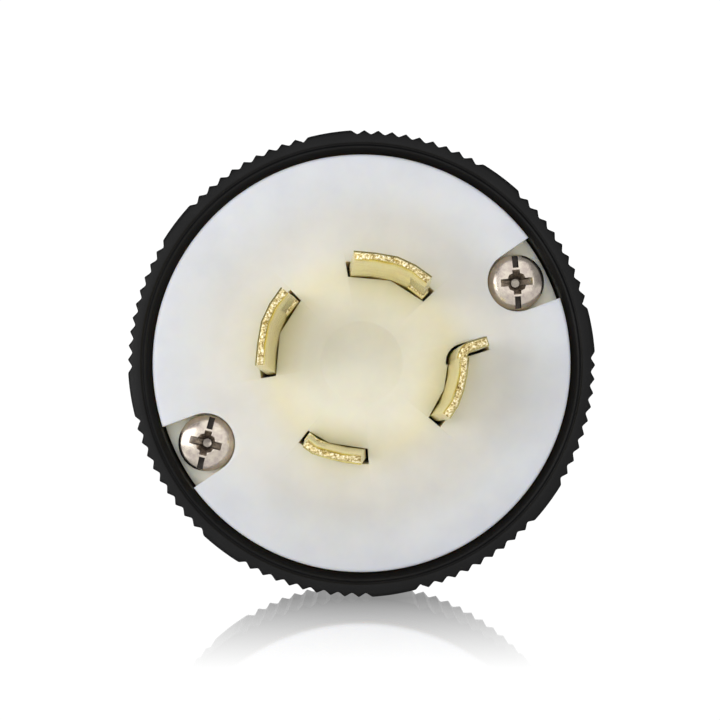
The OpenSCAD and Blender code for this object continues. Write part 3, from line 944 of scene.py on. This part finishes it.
def floor():
    """Glossy white acrylic, whose mirror image fades away in front of the plug."""
    size = 1.6
    level = -COLLAR_R * MM - 0.00002
    corners = [(x * size, y * size, level) for x, y in ((-1, -1), (1, -1), (1, 1), (-1, 1))]
    obj = mesh_object("floor", corners, [(0, 1, 2, 3)])
    material = bpy.data.materials.new("white_acrylic")
    material.use_nodes = True
    tree = material.node_tree
    tree.nodes.clear()
    coordinates = tree.nodes.new("ShaderNodeTexCoord")
    split = tree.nodes.new("ShaderNodeSeparateXYZ")
    fade = tree.nodes.new("ShaderNodeMapRange")
    fade.inputs["From Min"].default_value = -0.046
    fade.inputs["From Max"].default_value = 0.0
    fade.inputs["To Min"].default_value = 0.0
    fade.inputs["To Max"].default_value = 0.76
    tree.links.new(coordinates.outputs["Object"], split.inputs[0])
    tree.links.new(split.outputs["Y"], fade.inputs["Value"])
    glow = tree.nodes.new("ShaderNodeEmission")
    glow.inputs["Strength"].default_value = 1.05
    gloss = tree.nodes.new("ShaderNodeBsdfGlossy")
    gloss.inputs["Color"].default_value = (1, 1, 1, 1)
    gloss.inputs["Roughness"].default_value = 0.03
    mix = tree.nodes.new("ShaderNodeMixShader")
    out = tree.nodes.new("ShaderNodeOutputMaterial")
    tree.links.new(fade.outputs[0], mix.inputs[0])
    tree.links.new(glow.outputs[0], mix.inputs[1])
    tree.links.new(gloss.outputs[0], mix.inputs[2])
    tree.links.new(mix.outputs[0], out.inputs[0])
    obj.data.materials.append(material)


# ---------- build ----------

bpy.context.scene.view_settings.view_transform = "Standard"
camera()
studio_world()
floor()
area_light("key", (-0.19, -0.22, -0.02), (0, 0, 0), (0.22, 0.22), 0.50)
area_light("fill", (0.04, -0.40, 0.14), (0, 0, 0), (0.34, 0.34), 0.38)

BLACK = black_nylon()
WHITE = white_nylon()
GREY = grey_resin()
STRIP = strip_brass("blade_brass", (0.95, 0.85, 0.35), (0.82, 0.67, 0.23))
TURNED = plated("turned_brass", (0.84, 0.66, 0.32), (0.66, 0.47, 0.20))
NICKEL = plated("nickel_screw", (0.58, 0.52, 0.44), (0.44, 0.38, 0.34), rough=(0.14, 0.26))
ZINC = plated("zinc_screw", (0.66, 0.67, 0.70), (0.54, 0.55, 0.57))
GREEN = plated("green_screw", (0.10, 0.34, 0.14), (0.06, 0.22, 0.09), rough=(0.3, 0.42))

housing(BLACK)
front_body(WHITE)
for contact, contact_turn, contact_span in CONTACTS:
    blade(contact, contact_turn, contact_span, STRIP)
assembly_screw(1, SCREW_CLOCK, 4, NICKEL)
assembly_screw(2, SCREW_CLOCK + 180, -14, NICKEL)
clamp_screw(1, -1, 25, ZINC)
clamp_screw(2, 1, -50, ZINC)
terminal_screw("ground_screw", CONTACT_CLOCK, 20, "green_screw", GREEN)
for letter, screw_turn, slot_turn in (("x", 90, 65), ("y", 180, -30), ("z", 270, 5)):
    terminal = "terminal_screw_" + letter
    terminal_screw(terminal, CONTACT_CLOCK + screw_turn, slot_turn, "turned_brass", TURNED)
clamp_jaw(BLACK)
for letter in ("x", "y", "z", "ground"):
    rounded_copy("clamp_plate_" + letter, "clamp_plate_" + letter, "turned_brass", TURNED, 0.15)
rounded_copy("contact_retainer", "front_unit", "grey_resin", GREY, 0.2)
rounded_copy("screw_inserts", "housing", "turned_brass", TURNED, 0.12)
rounded_copy("clamp_nuts", "housing", "zinc_screw", ZINC, 0.2)
retainer_place = Matrix.Translation((0, 0, RETAINER_BACK + HEAD_GAP)) @ turn("X", 180)
retainer_length = -RETAINER_BACK - HEAD_H - RECESS_DEPTH
screw("retainer_screw", retainer_length, retainer_place, "front_unit", "nickel_screw", NICKEL)
